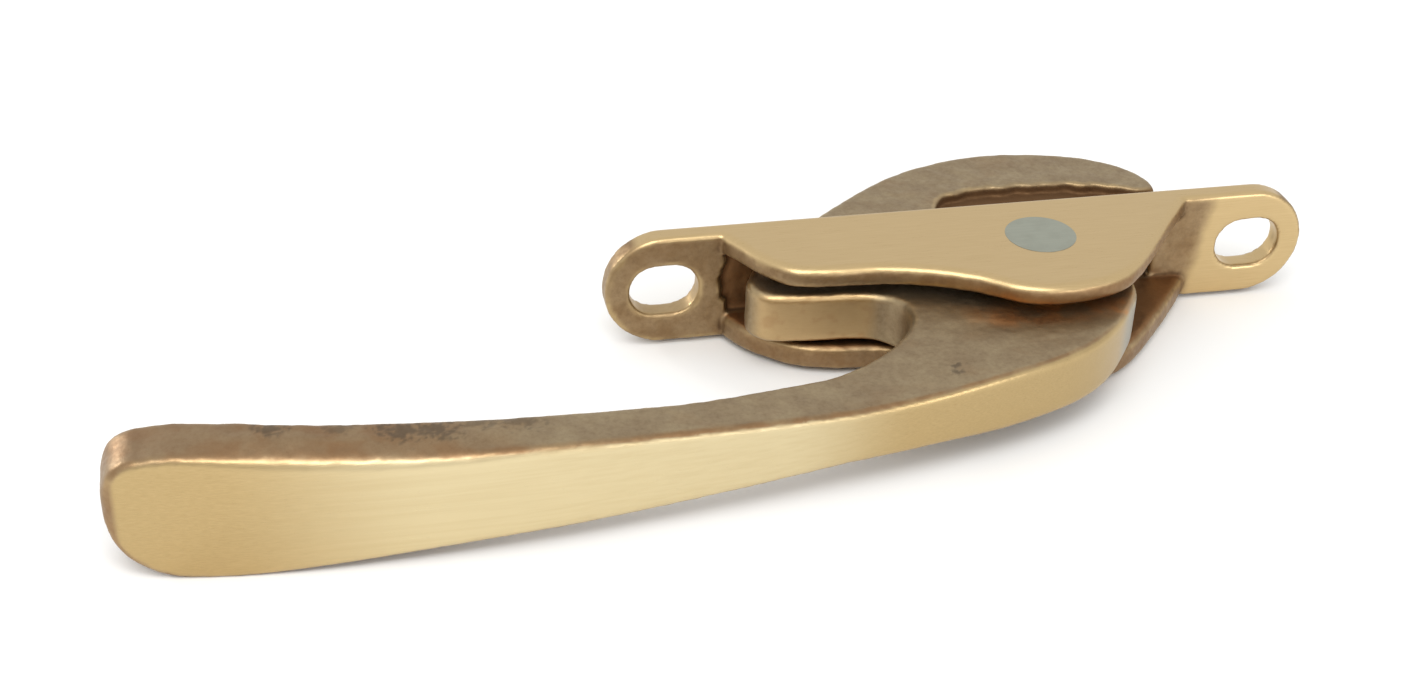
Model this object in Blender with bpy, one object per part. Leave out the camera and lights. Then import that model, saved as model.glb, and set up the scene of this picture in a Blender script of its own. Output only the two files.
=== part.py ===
"""Cast bronze casement locking handle, 131 mm over all.

A bracket screws to the window through two slotted ears. Its upper and lower
flanges carry a riveted pin, and the lever turns on that pin between them: a
long grip in front, a cam that passes through the mounting plate behind.

Frame: X runs along the mounting plate, Y = 0 is the plate's back face and +Y
points through the window, Z is the pin's axis with 0 at mid height.
Lengths are written in millimetres and turned into metres when a mesh is made.
"""

import math

import bmesh
import bpy
from mathutils import Vector

MM = 0.001

# Mounting plate and its screw slots
PLATE_HEIGHT = 12.7
PLATE_THICKNESS = 2.4
HOLE_PITCH = 66.7
SLOT_LENGTH = 7.5
SLOT_WIDTH = 5.7
WINDOW_LEFT = -23.2
WINDOW_RIGHT = 22.0
RECESS_LEFT = -27.0
RECESS_DEPTH = 1.0

# Flanges, lever and the gaps between them
UPPER_THICKNESS = 2.4
LOWER_THICKNESS = 2.95
HUB_HALF_HEIGHT = 2.9
CAST_ROUND = 0.8
PLATE_ROUND = 0.35

# Pin and washers
PIN_X = 6.3
PIN_Y = -7.6
SHANK_RADIUS = 3.175
RIVET_RADIUS = 3.8
PRESS_GAP = 0.03
RUNNING_GAP = 0.05
WASHER_RADIUS = 7.0
WASHER_GAP = 0.06
SPRING_THICKNESS = 0.2

# Grip end, in side view: a tight round above and a wide one below
TIP_X = -90.7
TIP_TOP_RADIUS = 3.9
TIP_TOP_CENTRE_Z = 2.35
TIP_LOW_RADIUS = 7.2
TIP_LOW_CENTRE_Z = 0.5
TIP_PLAN_ROUND = 1.2
ARM_END_X = -21.0
NOSE_FRONT_Y = -12.0

HALF_HEIGHT = PLATE_HEIGHT / 2
UPPER_INNER = HALF_HEIGHT - UPPER_THICKNESS
LOWER_INNER = LOWER_THICKNESS - HALF_HEIGHT

# How finely the curves are divided, and how far a cutter passes the face it cuts
PIN_SIDES = 48
EAR_SIDES = 20
SLOT_SIDES = 14
ROUND_STEPS = 3
CURVE_STEPS = 4
CAM_STEPS = 5
ARM_STEPS = 6
TIP_STATIONS = 12
ARM_STATIONS = 26
CUT_OVERRUN = 1.0

# Half height of the arm along X: it swells towards the grip
ARM_HEIGHTS = [
    (-87.0, 6.25), (-84.5, 6.62), (-81.5, 6.75), (-77.0, 6.65), (-68.0, 5.87), (-57.0, 5.0),
    (-46.0, 4.4), (-36.0, 3.82), (-27.0, 3.25), (ARM_END_X, HUB_HALF_HEIGHT),
]

# Plan of the arm: y of its front and back faces along X
ARM_FRONT = [
    (TIP_X, -33.95), (-86.0, -34.5), (-80.0, -35.25), (-71.0, -35.95), (-60.0, -36.1),
    (-50.0, -35.8), (-40.0, -34.95), (-30.0, -33.85), (ARM_END_X, -32.6),
]
ARM_BACK = [
    (TIP_X, -27.95), (-86.0, -28.5), (-80.0, -29.6), (-73.0, -30.4), (-60.0, -30.4),
    (-48.0, -30.05), (-38.0, -29.4), (-30.0, -28.0), (ARM_END_X, -25.8),
]

# Plan of the hub after the arm's front face, anticlockwise seen from above
HUB_FRONT = [
    (ARM_END_X, -32.6), (-14.0, -31.4), (-5.0, -29.3), (2.0, -27.0), (6.4, -24.8), (9.9, -21.9),
    (12.8, -18.3), (14.7, -15.2), (15.4, -12.0), (15.6, -8.0), (17.6, -3.0), (21.5, 1.5), (24.6, 4.8),
]
CAM_BACK = [
    (24.6, 4.8), (25.5, 7.6), (24.4, 10.9), (21.2, 14.0), (16.5, 16.1), (9.5, 17.3), (2.5, 16.4),
    (-5.0, 13.3), (-13.9, 6.5), (-20.0, 0.6), (-24.3, -4.2),
]
NOSE_AND_NOTCH = [
    (-24.3, -4.2), (-25.4, -6.6), (-25.2, -8.4), (-23.6, -9.9), (-20.0, -10.5), (-15.0, -10.9),
    (-12.4, -11.6), (-10.7, -13.1), (-10.1, -15.2), (-10.9, -17.8), (-13.5, -21.1), (-17.0, -23.8),
    (ARM_END_X, -25.8),
]

# Plan of the flanges' front edges, from the left ear to the right ear
UPPER_FLANGE = [
    (-27.7, -2.0), (-26.0, -5.0), (-24.2, -8.1), (-21.6, -10.6), (-17.5, -11.4), (-12.6, -11.7),
    (-7.6, -12.9), (-2.9, -15.0), (0.8, -17.6), (4.4, -18.6), (9.0, -18.2), (12.4, -17.0),
    (15.0, -14.8), (18.5, -10.6), (22.0, -6.1), (25.4, -2.0),
]
LOWER_FLANGE = [
    (-27.3, -2.0), (-25.8, -5.0), (-23.6, -7.6), (-20.4, -10.0), (-16.5, -11.2), (-12.6, -11.7),
    (-7.6, -12.9), (-2.9, -15.0), (0.8, -17.6), (4.4, -18.6), (9.0, -18.2), (13.0, -16.9),
    (16.2, -14.4), (19.8, -10.4), (23.2, -6.4), (26.6, -2.0),
]

# Shallow pocket in the cam's upper face, hidden at its front under the upper flange
POCKET_DEPTH = 1.2
POCKET = [
    (-1.5, 3.0), (-0.9, 6.2), (0.9, 8.2), (4.0, 9.2), (10.0, 9.4), (16.0, 8.9), (20.5, 7.6), (24.0, 6.2),
]
POCKET_FRONT_Y = 0.8
POCKET_RIGHT = 28.0

MATERIALS = {
    "cast_bronze": ((0.52, 0.36, 0.17, 1.0), 0.38, 1.0),
    "pin_steel": ((0.42, 0.43, 0.40, 1.0), 0.45, 1.0),
    "washer_brass": ((0.60, 0.45, 0.22, 1.0), 0.40, 1.0),
}


def clear_scene():
    for item in list(bpy.data.objects):
        bpy.data.objects.remove(item)


def material(name):
    made = bpy.data.materials.get(name)
    if made:
        return made
    colour, roughness, metallic = MATERIALS[name]
    made = bpy.data.materials.new(name)
    made.use_nodes = True
    shader = made.node_tree.nodes["Principled BSDF"]
    shader.inputs["Base Color"].default_value = colour
    shader.inputs["Roughness"].default_value = roughness
    shader.inputs["Metallic"].default_value = metallic
    return made


def smooth_through(knots, steps=CURVE_STEPS):
    """Points of a smooth curve through the knots, with both ends kept."""
    ends = [tuple(2 * a - b for a, b in zip(knots[0], knots[1]))]
    ends += list(knots)
    ends.append(tuple(2 * a - b for a, b in zip(knots[-1], knots[-2])))
    curve = []
    for before, start, end, after in zip(ends, ends[1:], ends[2:], ends[3:]):
        for step in range(steps):
            t = step / steps
            curve.append(tuple(
                0.5 * (2 * b + (c - a) * t + (2 * a - 5 * b + 4 * c - d) * t ** 2
                       + (3 * b - a - 3 * c + d) * t ** 3)
                for a, b, c, d in zip(before, start, end, after)))
    curve.append(tuple(knots[-1]))
    return curve


def value_at(curve, x):
    """The second coordinate of a curve that runs along x, at one x."""
    for (x0, v0), (x1, v1) in zip(curve, curve[1:]):
        if x <= x1:
            return v0 + (v1 - v0) * (x - x0) / (x1 - x0)
    return curve[-1][1]


def arc(centre, radius, start, end, steps):
    """Points of an arc from one angle to another, in degrees."""
    angles = [math.radians(start + (end - start) * i / steps) for i in range(steps + 1)]
    return [(centre[0] + radius * math.cos(a), centre[1] + radius * math.sin(a)) for a in angles]


def inset(outline, distance):
    """An anticlockwise closed outline moved inwards by one distance."""
    moved = []
    count = len(outline)
    for i, point in enumerate(outline):
        before = Vector(outline[i - 1])
        here = Vector(point)
        after = Vector(outline[(i + 1) % count])
        first = (here - before).normalized()
        second = (after - here).normalized()
        inward = Vector((-first.y - second.y, first.x + second.x)).normalized()
        widen = max(0.5, inward.dot(Vector((-first.y, first.x))))
        moved.append(tuple(here + inward * (distance / widen)))
    return moved


def new_object(name, vertices, faces, material_name=None):
    """A mesh object from points in millimetres, with its faces turned outwards."""
    mesh = bpy.data.meshes.new(name)
    mesh.from_pydata([[c * MM for c in v] for v in vertices], [], faces)
    work = bmesh.new()
    work.from_mesh(mesh)
    bmesh.ops.triangulate(work, faces=[f for f in work.faces if len(f.verts) > 4])
    bmesh.ops.recalc_face_normals(work, faces=work.faces)
    work.to_mesh(mesh)
    work.free()
    made = bpy.data.objects.new(name, mesh)
    bpy.context.scene.collection.objects.link(made)
    if material_name:
        mesh.materials.append(material(material_name))
    return made


def rim_levels(rounding):
    """(inset, drop) pairs from the side wall up and over a rounded rim."""
    if not rounding:
        return [(0.0, 0.0)]
    angles = [math.pi / 2 * i / ROUND_STEPS for i in range(ROUND_STEPS + 1)]
    return [(rounding * (1 - math.cos(a)), rounding * (1 - math.sin(a))) for a in angles]


def slab(name, outline, top, bottom, rounding, caps, material_name=None):
    """A flat piece of the given plan. top(x, y) and bottom(x, y) give its faces and
    both rims are rounded. caps lists each end face as indices of the outline."""
    rings = []
    for distance, drop in reversed(rim_levels(rounding)):
        rings.append([(x, y, bottom(x, y) + drop) for x, y in inset(outline, distance)])
    for distance, drop in rim_levels(rounding):
        rings.append([(x, y, top(x, y) - drop) for x, y in inset(outline, distance)])
    vertices = [v for ring in rings for v in ring]
    count = len(outline)
    faces = []
    for level in range(len(rings) - 1):
        for i in range(count):
            j = (i + 1) % count
            low = level * count
            faces.append((low + i, low + j, low + count + j, low + count + i))
    last = (len(rings) - 1) * count
    for cap in caps:
        faces.append(tuple(reversed(cap)))
        faces.append(tuple(last + i for i in cap))
    return new_object(name, vertices, faces, material_name)


def flat_slab(name, outline, low, high, rounding=0.0, material_name=None):
    return slab(name, outline, lambda x, y: high, lambda x, y: low, rounding,
                [range(len(outline))], material_name)


def turned(name, profile, centre=(0.0, 0.0), material_name=None):
    """A turned piece: profile is a closed loop of (radius, z), any radius above 0."""
    vertices = []
    faces = []
    rows = len(profile)
    for i in range(PIN_SIDES):
        angle = 2 * math.pi * i / PIN_SIDES
        for radius, z in profile:
            vertices.append((centre[0] + radius * math.cos(angle),
                             centre[1] + radius * math.sin(angle), z))
    for i in range(PIN_SIDES):
        here = i * rows
        there = (i + 1) % PIN_SIDES * rows
        for row in range(rows):
            step = (row + 1) % rows
            faces.append((here + row, there + row, there + step, here + step))
    return new_object(name, vertices, faces, material_name)


def spindle(name, profile, centre, material_name=None):
    """A solid turned piece: profile runs from its lower end to its upper end."""
    vertices = []
    faces = []
    rows = len(profile)
    for radius, z in profile:
        for i in range(PIN_SIDES):
            angle = 2 * math.pi * i / PIN_SIDES
            vertices.append((centre[0] + radius * math.cos(angle),
                             centre[1] + radius * math.sin(angle), z))
    for row in range(rows - 1):
        for i in range(PIN_SIDES):
            j = (i + 1) % PIN_SIDES
            low = row * PIN_SIDES
            faces.append((low + i, low + j, low + PIN_SIDES + j, low + PIN_SIDES + i))
    faces.append(tuple(range(PIN_SIDES)))
    faces.append(tuple((rows - 1) * PIN_SIDES + i for i in range(PIN_SIDES)))
    return new_object(name, vertices, faces, material_name)


def boolean(target, other, operation):
    """Joins or cuts one piece with another, which is kept only as a guide."""
    other.hide_render = True
    other.display_type = "WIRE"
    modifier = target.modifiers.new(other.name, "BOOLEAN")
    modifier.operation = operation
    modifier.solver = "EXACT"
    modifier.object = other


def stadium(length, height, centre_x, sides):
    """A round-ended outline in the plate's plane, as (x, z) pairs."""
    radius = height / 2
    reach = length / 2 - radius
    return (arc((centre_x + reach, 0.0), radius, -90, 90, sides)
            + arc((centre_x - reach, 0.0), radius, 90, 270, sides))


def rectangle(left, right, low, high):
    return [(left, low), (right, low), (right, high), (left, high)]


def upright_slab(name, outline, front, back, rounding=0.0, material_name=None):
    """A slab stood on edge: its plan is (x, z) and its faces lie at y = front and back."""
    made = flat_slab(name, outline, -back, -front, rounding, material_name)
    for vertex in made.data.vertices:
        x, z, depth = vertex.co
        vertex.co = (x, -depth, z)
    return made


def opening(name, outline, depth):
    """A cutter through the plate's front face, down to one depth."""
    return upright_slab(name, outline, -PLATE_THICKNESS - CUT_OVERRUN, depth - PLATE_THICKNESS)


def flange(name, front_edge, low, high):
    """One flange: the curved front edge closed by a straight back inside the plate."""
    curve = smooth_through(front_edge)
    back = -PLATE_THICKNESS / 4
    outline = [(curve[0][0], back)] + curve + [(curve[-1][0], back)]
    return flat_slab(name, outline, low, high, CAST_ROUND)


def make_bracket():
    """Mounting plate with slotted ears, and the two flanges that carry the pin."""
    length = HOLE_PITCH + PLATE_HEIGHT
    bracket = upright_slab("bracket", stadium(length, PLATE_HEIGHT, 0.0, EAR_SIDES),
                           -PLATE_THICKNESS, 0.0, PLATE_ROUND, "cast_bronze")
    boolean(bracket, flange("upper_flange_form", UPPER_FLANGE, UPPER_INNER, HALF_HEIGHT), "UNION")
    boolean(bracket, flange("lower_flange_form", LOWER_FLANGE, -HALF_HEIGHT, LOWER_INNER), "UNION")
    through = PLATE_THICKNESS + CUT_OVERRUN
    for name, side in (("left_slot_cutter", -1), ("right_slot_cutter", 1)):
        outline = stadium(SLOT_LENGTH, SLOT_WIDTH, side * HOLE_PITCH / 2, SLOT_SIDES)
        boolean(bracket, opening(name, outline, through), "DIFFERENCE")
    recess = rectangle(RECESS_LEFT, WINDOW_LEFT + CUT_OVERRUN, LOWER_INNER, UPPER_INNER)
    boolean(bracket, opening("recess_cutter", recess, RECESS_DEPTH), "DIFFERENCE")
    window = rectangle(WINDOW_LEFT, WINDOW_RIGHT, LOWER_INNER, UPPER_INNER)
    boolean(bracket, opening("window_cutter", window, through), "DIFFERENCE")
    flare = RIVET_RADIUS - SHANK_RADIUS
    bore = SHANK_RADIUS + PRESS_GAP
    mouth = RIVET_RADIUS + PRESS_GAP + CUT_OVERRUN
    end = HALF_HEIGHT + CUT_OVERRUN
    profile = [(mouth, -end), (bore, flare - HALF_HEIGHT), (bore, HALF_HEIGHT - flare), (mouth, end)]
    boolean(bracket, spindle("pin_hole_cutter", profile, (PIN_X, PIN_Y)), "DIFFERENCE")
    return bracket


def make_pin():
    """Riveted pin: a plain shank whose ends are spread into the flanges' countersinks."""
    flare = RIVET_RADIUS - SHANK_RADIUS
    profile = [(RIVET_RADIUS, -HALF_HEIGHT), (SHANK_RADIUS, -HALF_HEIGHT + flare),
               (SHANK_RADIUS, HALF_HEIGHT - flare), (RIVET_RADIUS, HALF_HEIGHT)]
    return spindle("pivot_pin", profile, (PIN_X, PIN_Y), "pin_steel")


def make_upper_washer():
    """Flat washer that fills the gap above the hub."""
    low = HUB_HALF_HEIGHT + WASHER_GAP
    high = UPPER_INNER - WASHER_GAP
    hole = SHANK_RADIUS + RUNNING_GAP
    profile = [(hole, low), (WASHER_RADIUS, low), (WASHER_RADIUS, high), (hole, high)]
    return turned("upper_washer", profile, (PIN_X, PIN_Y), "washer_brass")


def make_spring_washer():
    """Bowed washer under the hub, whose spring gives the lever its friction."""
    middle = (LOWER_INNER - HUB_HALF_HEIGHT) / 2
    hole = SHANK_RADIUS + RUNNING_GAP
    half = SPRING_THICKNESS / 2
    profile = [(hole, middle - half), (WASHER_RADIUS, middle - half),
               (WASHER_RADIUS, middle + half), (hole, middle + half)]
    washer = turned("spring_washer", profile, (PIN_X, PIN_Y), "washer_brass")
    bow = (-HUB_HALF_HEIGHT - LOWER_INNER) / 2 - half - WASHER_GAP
    for vertex in washer.data.vertices:
        across = (vertex.co.x / MM - PIN_X) / WASHER_RADIUS
        vertex.co.z += bow * (1 - 2 * across ** 2) * MM
    return washer


def lever_top(heights, x, y):
    """Height of the lever's upper face: level over the hub and nose, swelling along the arm."""
    if y > NOSE_FRONT_Y:
        return HUB_HALF_HEIGHT
    if x < TIP_X + TIP_TOP_RADIUS:
        reach = TIP_X + TIP_TOP_RADIUS - x
        return TIP_TOP_CENTRE_Z + math.sqrt(max(0.0, TIP_TOP_RADIUS ** 2 - reach ** 2))
    return value_at(heights, x)


def lever_bottom(heights, x, y):
    """Height of the lever's lower face, the mirror of the upper one except at the grip's end."""
    if x < TIP_X + TIP_LOW_RADIUS:
        reach = TIP_X + TIP_LOW_RADIUS - x
        return TIP_LOW_CENTRE_Z - math.sqrt(max(0.0, TIP_LOW_RADIUS ** 2 - reach ** 2))
    return -lever_top(heights, x, y)


def plan_round(x):
    """How far the grip's plan is drawn in near its end by the round of its corners."""
    reach = TIP_X + TIP_PLAN_ROUND - x
    if reach <= 0:
        return 0.0
    return TIP_PLAN_ROUND - math.sqrt(max(0.0, TIP_PLAN_ROUND ** 2 - reach ** 2))


def arm_stations():
    """X of the arm's sections, from the tip to the hub, closest where the tip is round."""
    round_end = TIP_X + TIP_LOW_RADIUS
    stations = []
    for step in range(TIP_STATIONS):
        angle = math.pi / 2 * step / TIP_STATIONS
        stations.append(TIP_X + TIP_LOW_RADIUS * (1 - math.cos(angle)))
    for step in range(ARM_STATIONS + 1):
        stations.append(round_end + (ARM_END_X - round_end) * step / ARM_STATIONS)
    return stations


def make_lever():
    """Grip, arm, hub, nose and cam in one casting, bored for the pin."""
    stations = arm_stations()
    heights = smooth_through(ARM_HEIGHTS, ARM_STEPS)
    front_curve = smooth_through(ARM_FRONT, ARM_STEPS)
    back_curve = smooth_through(ARM_BACK, ARM_STEPS)
    front = [(x, value_at(front_curve, x) + plan_round(x)) for x in stations]
    back = [(x, value_at(back_curve, x) - plan_round(x)) for x in stations]
    hub = (smooth_through(HUB_FRONT)[1:] + smooth_through(CAM_BACK, CAM_STEPS)[1:]
           + smooth_through(NOSE_AND_NOTCH)[1:-1])
    outline = front + hub + list(reversed(back))
    total = len(outline)
    last = len(stations) - 1
    caps = [(i, i + 1, total - 2 - i, total - 1 - i) for i in range(last)]
    caps.append(range(last, total - last))
    lever = slab("lever", outline, lambda x, y: lever_top(heights, x, y),
                 lambda x, y: lever_bottom(heights, x, y), CAST_ROUND, caps, "cast_bronze")
    bore = SHANK_RADIUS + RUNNING_GAP
    end = HUB_HALF_HEIGHT + CUT_OVERRUN
    boolean(lever, spindle("hub_bore_cutter", [(bore, -end), (bore, end)], (PIN_X, PIN_Y)), "DIFFERENCE")
    rim = smooth_through(POCKET)
    pocket = [(rim[0][0], POCKET_FRONT_Y), (POCKET_RIGHT, POCKET_FRONT_Y),
              (POCKET_RIGHT, rim[-1][1])] + list(reversed(rim))
    pocket = flat_slab("pocket_cutter", pocket, HUB_HALF_HEIGHT - POCKET_DEPTH, end)
    boolean(lever, pocket, "DIFFERENCE")
    return lever


def main():
    clear_scene()
    pivot = bpy.data.objects.new("handle_pivot_axis", None)
    pivot.location = (PIN_X * MM, PIN_Y * MM, 0.0)
    bpy.context.scene.collection.objects.link(pivot)
    make_bracket()
    make_pin()
    make_upper_washer()
    make_spring_washer()
    lever = make_lever()
    lever.parent = pivot
    lever.location = (-pivot.location.x, -pivot.location.y, 0.0)


main()
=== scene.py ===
"""Cast bronze casement locking handle: finished surfaces, camera and light.

The bracket and the lever are modelled again as cast and ground bronze, and stand for
their CAD nodes, as does the riveted pin. The two washers keep their CAD shape.
Lengths are written in millimetres and turned into metres when a mesh is made.
"""

import math

import bmesh
import bpy
import numpy as np
from mathutils import Matrix, Vector, noise


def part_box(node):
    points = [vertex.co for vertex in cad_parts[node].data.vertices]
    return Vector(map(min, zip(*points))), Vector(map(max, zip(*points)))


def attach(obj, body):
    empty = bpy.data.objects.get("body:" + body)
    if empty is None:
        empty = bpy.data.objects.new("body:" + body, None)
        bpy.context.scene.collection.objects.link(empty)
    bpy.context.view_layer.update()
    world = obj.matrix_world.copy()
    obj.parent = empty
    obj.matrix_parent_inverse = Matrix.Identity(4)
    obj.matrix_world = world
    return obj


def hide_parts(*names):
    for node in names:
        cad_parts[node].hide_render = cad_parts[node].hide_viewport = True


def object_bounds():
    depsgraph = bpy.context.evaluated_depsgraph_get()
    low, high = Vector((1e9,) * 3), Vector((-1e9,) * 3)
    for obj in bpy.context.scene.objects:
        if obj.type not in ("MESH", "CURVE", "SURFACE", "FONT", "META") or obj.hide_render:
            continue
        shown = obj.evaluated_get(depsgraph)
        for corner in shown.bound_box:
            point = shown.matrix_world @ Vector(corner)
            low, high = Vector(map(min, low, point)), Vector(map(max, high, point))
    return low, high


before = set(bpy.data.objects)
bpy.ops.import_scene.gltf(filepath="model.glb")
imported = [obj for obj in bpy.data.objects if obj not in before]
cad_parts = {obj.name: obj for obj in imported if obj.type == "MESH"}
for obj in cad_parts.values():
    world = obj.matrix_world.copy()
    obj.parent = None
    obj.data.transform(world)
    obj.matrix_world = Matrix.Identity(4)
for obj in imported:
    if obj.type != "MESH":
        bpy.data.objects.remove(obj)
cad_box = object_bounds()

MM = 0.001

# Sizes read from the CAD nodes, in millimetres
plate_high = [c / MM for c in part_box("bracket")[1]]
pin_low, pin_high = [[c / MM for c in corner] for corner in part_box("pivot_pin")]
PLATE_END = plate_high[0]
HALF_HEIGHT = plate_high[2]
PIN_X = (pin_low[0] + pin_high[0]) / 2
PIN_Y = (pin_low[1] + pin_high[1]) / 2
RIVET_RADIUS = (pin_high[0] - pin_low[0]) / 2

# Bracket
PLATE_THICKNESS = 2.4
HOLE_PITCH = 66.7
SLOT_LENGTH = 7.6
SLOT_WIDTH = 5.8
EAR_SIDES = 60
SLOT_SIDES = 40
WINDOW_LEFT = -23.2
WINDOW_RIGHT = 22.0
RECESS_LEFT = -27.2
RECESS_DEPTH = 1.0
UPPER_THICKNESS = 2.4
LOWER_THICKNESS = 2.95
UPPER_INNER = HALF_HEIGHT - UPPER_THICKNESS
LOWER_INNER = LOWER_THICKNESS - HALF_HEIGHT
FLANGE_BORE = RIVET_RADIUS - 0.4
PLATE_ROUND = 0.3
FLANGE_ROUND = 0.85

# Ragged casting flash along the recess's left edge: (x beyond it, z), from the top down
FLASH = [
    (0.1, 3.95), (0.5, 3.3), (0.45, 2.5), (0.1, 2.0), (0.2, 1.6), (-0.25, 0.9), (0.0, 0.5), (-0.05, 0.2),
    (0.15, -0.4), (0.1, -1.2), (0.05, -1.5), (0.6, -1.7), (0.65, -2.4), (0.75, -3.4),
]

# Lever
HUB_HALF_HEIGHT = 2.9
LEVER_ROUND = 0.65
HUB_BORE = 3.6
TIP_X = -90.8
TIP_TOP_RADIUS = 3.9
TIP_TOP_CENTRE_Z = 2.35
TIP_LOW_RADIUS = 7.2
TIP_LOW_CENTRE_Z = 0.5
TIP_PLAN_ROUND = 1.2
TIP_STATIONS = 40
ARM_STATIONS = 110
ARM_END_X = -21.0
NOSE_FRONT_Y = -12.0
POCKET_DEPTH = 1.2
POCKET_FRONT_Y = 0.8
POCKET_RIGHT = 28.0
POCKET_WAVE = 0.13
POCKET_WAVE_RATES = [(2.1, 0.0), (1.3, 1.0)]

# Pin, riveted flush: its ends stand out by a dome too low to see
SHANK_RADIUS = 3.175
PIN_DOME = 0.03
DOME_RIM = 0.05
DOME_FLAT = 0.5
PIN_SIDES = 96

# Meshing. GROWTH gives back what smoothing takes off the castings.
VOXEL = 0.22
CURVE_STEPS = 12
ROUND_STEPS = 5
CUT_OVERRUN = 1.0
GROWTH_BRACKET = 0.06
GROWTH_LEVER = 0.12

# How the castings are smoothed and shaped after meshing. RELAX_IN and RELAX_OUT are shares of the
# way to the neighbours' mean.
RELAX_IN = 0.5
RELAX_OUT = 0.53
EVEN_ROUNDS = 6
BRACKET_SOFT_ROUNDS = 3
LEVER_SOFT_ROUNDS = 4
GRIP_WEAR_ROUNDS = 60
GRIP_WEAR = 0.6
HUB_SWELL = 0.3
NOSE_THINNING = 0.12
WAVE_HEIGHT = 0.05
FINE_HEIGHT = 0.012
FINE_SIZE = 0.5

# Finish: each pair is where a change starts and where it is complete. All are in millimetres,
# but for STAIN_EDGE, which is in a stain's own radii. The two ROUNDS say how widely a point's
# surroundings are averaged to find edges and corners.
TOP_FACE_Z = (5.2, 5.8)
EAR_FRONT_DEPTH = (0.2, 0.4)
RIGHT_EAR_GROUND_X = (26.3, 28.3)
PLATE_BACK_Y = (-0.3, -0.1)
SLOT_REACH_X = (4.1, 4.4)
SLOT_REACH_Z = (3.1, 3.4)
WASHER_RIM = (7.3, 8.3)
WASHER_FADE = (7.3, 13.0)
FLANGE_TOP_Z = (5.0, 5.5)
RECESS_MARK_X = (-27.6, -27.0)
PALE_PATCH_X = (10.5, 13.0)
STAIN_EDGE = (0.35, 1.1)
EDGE_BULGE = (0.02, 0.1)
CORNER_HOLLOW = (0.015, 0.12)
EDGE_ROUNDS = 6
CORNER_ROUNDS = 14

# Lever outlines: smooth curves through a few points. ARM_HEIGHTS is half the thickness along x.
ARM_HEIGHTS = [
    (-87.0, 6.25), (-84.5, 6.62), (-81.5, 6.75), (-77.0, 6.65), (-68.0, 5.87), (-57.0, 5.0),
    (-46.0, 4.4), (-36.0, 3.82), (-27.0, 3.25), (ARM_END_X, HUB_HALF_HEIGHT),
]
ARM_FRONT = [
    (TIP_X, -33.95), (-86.0, -34.5), (-80.0, -35.25), (-71.0, -35.95), (-60.0, -36.1),
    (-50.0, -35.8), (-40.0, -34.95), (-30.0, -33.85), (ARM_END_X, -32.6),
]
ARM_BACK = [
    (TIP_X, -27.95), (-86.0, -28.5), (-80.0, -29.6), (-73.0, -30.4), (-60.0, -30.4),
    (-48.0, -30.05), (-38.0, -29.4), (-30.0, -28.0), (ARM_END_X, -25.8),
]
HUB_FRONT = [
    (ARM_END_X, -32.6), (-14.0, -31.4), (-5.0, -29.3), (2.0, -27.0), (6.4, -24.8), (9.9, -21.9),
    (12.8, -18.3), (14.7, -15.2), (15.4, -12.0), (15.6, -8.0), (17.6, -3.0), (21.5, 1.5), (24.6, 4.8),
]
CAM_BACK = [
    (24.6, 4.8), (25.5, 7.6), (24.4, 10.9), (21.2, 14.0), (16.5, 16.1), (9.5, 17.3), (2.5, 16.4),
    (-5.0, 13.3), (-13.9, 6.5), (-20.0, 0.6), (-24.3, -4.2),
]
NOSE_AND_NOTCH = [
    (-24.3, -4.2), (-25.4, -6.6), (-25.2, -8.4), (-23.6, -9.9), (-20.0, -10.5), (-15.0, -10.9),
    (-12.4, -11.6), (-10.7, -13.1), (-10.1, -15.2), (-10.9, -17.8), (-13.5, -21.1), (-17.0, -23.8),
    (ARM_END_X, -25.8),
]

# Front edges of the two flanges, from left to right, which share their middle run
FLANGE_MIDDLE = [(-12.6, -11.7), (-7.6, -12.9), (-2.9, -15.0), (0.8, -17.6), (4.4, -18.6), (9.0, -18.2)]
UPPER_FLANGE = [
    (-27.7, -2.0), (-26.0, -5.0), (-24.2, -8.1), (-21.6, -10.6), (-17.5, -11.4),
    *FLANGE_MIDDLE,
    (12.4, -17.0), (15.0, -14.8), (18.5, -10.6), (22.0, -6.1), (25.4, -2.0),
]
LOWER_FLANGE = [
    (-27.3, -2.0), (-25.8, -5.0), (-23.6, -7.6), (-20.4, -10.0), (-16.5, -11.2),
    *FLANGE_MIDDLE,
    (13.0, -16.9), (16.2, -14.4), (19.8, -10.4), (23.2, -6.4), (26.6, -2.0),
]

# Far rim of the pocket in the cam's upper face
POCKET = [
    (-1.5, 3.0), (-0.9, 6.2), (0.9, 8.2), (4.0, 9.2), (10.0, 9.4), (16.0, 8.9), (20.5, 7.6),
    (24.0, 6.2),
]

# Dark stains on the arm's upper face and two small ones on the hub's: (x, y, radius, strength)
STAINS = [
    (-75.5, -31.3, 1.2, 0.9), (-69.3, -31.5, 1.0, 0.6), (-64.0, -32.1, 1.6, 0.9),
    (-60.8, -32.2, 1.5, 0.9), (-56.5, -31.0, 1.3, 0.6), (-52.8, -31.2, 1.6, 0.6),
    (-8.6, -26.3, 0.5, 0.9), (-8.9, -27.4, 0.5, 0.9),
]

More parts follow.
